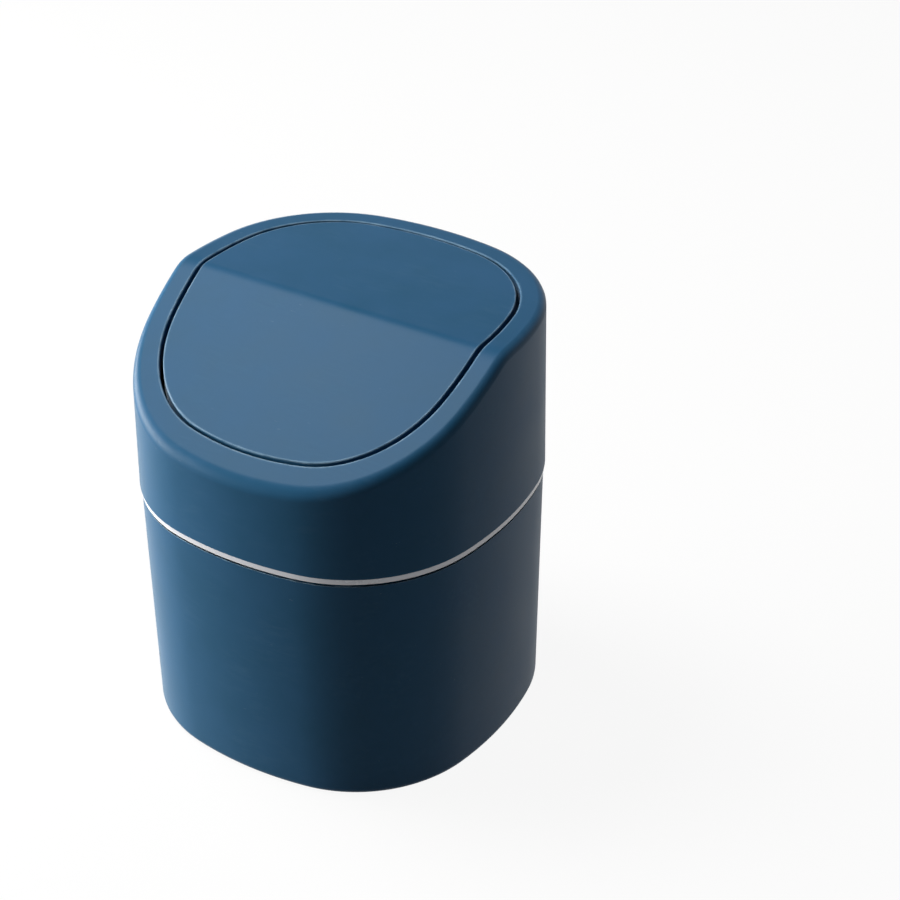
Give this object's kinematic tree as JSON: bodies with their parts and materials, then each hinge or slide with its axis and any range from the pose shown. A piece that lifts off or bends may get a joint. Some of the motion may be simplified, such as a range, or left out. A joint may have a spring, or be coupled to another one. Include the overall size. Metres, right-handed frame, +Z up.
{
  "type": "countertop waste bin",
  "caption": "Small countertop bin with a tapered tub, a bag ring, a lift-off slant-topped cover and a weighted swing flap.",
  "frame": {"origin": "middle of the footprint, on the surface that the bin stands on", "axes": "+Z up, front (the low side of the slanted top) towards -Y, hinge axis along X"},
  "size_m": [0.1346, 0.1346, 0.158],
  "materials": {
    "blue_plastic": "fine matte moulded plastic, dark blue",
    "white_plastic": "satin moulded plastic, white",
    "pin_steel": "bright zinc-plated steel",
    "weight_steel": "plain sheared steel bar"
  },
  "bodies": {
    "bin": {"bin_body": "blue_plastic"},
    "ring": {"bag_ring": "white_plastic"},
    "cover": {"lid_cover": "blue_plastic"},
    "flap": {"swing_flap": "blue_plastic", "hinge_pin_left": "pin_steel", "hinge_pin_right": "pin_steel", "counterweight": "weight_steel", "weight_cover": "blue_plastic", "weight_screw_left": "pin_steel", "weight_screw_right": "pin_steel"}
  },
  "joints": [
    {"name": "cover_lift", "type": "slide", "parent": "bin", "child": "cover", "axis": [0, 0, 1], "range_m": [0, 0.05]},
    {"name": "ring_lift", "type": "slide", "parent": "bin", "child": "ring", "axis": [0, 0, 1], "range_m": [0, 0.02]},
    {"name": "flap_swing", "type": "hinge", "parent": "cover", "child": "flap", "pos_m": [0, -0.002, 0.152], "axis": [1, 0, 0], "range_deg": [0, 75]}
  ],
  "couplings": [
    {"joint": "ring_lift", "follows": "cover_lift", "ratio": 0.4}
  ]
}
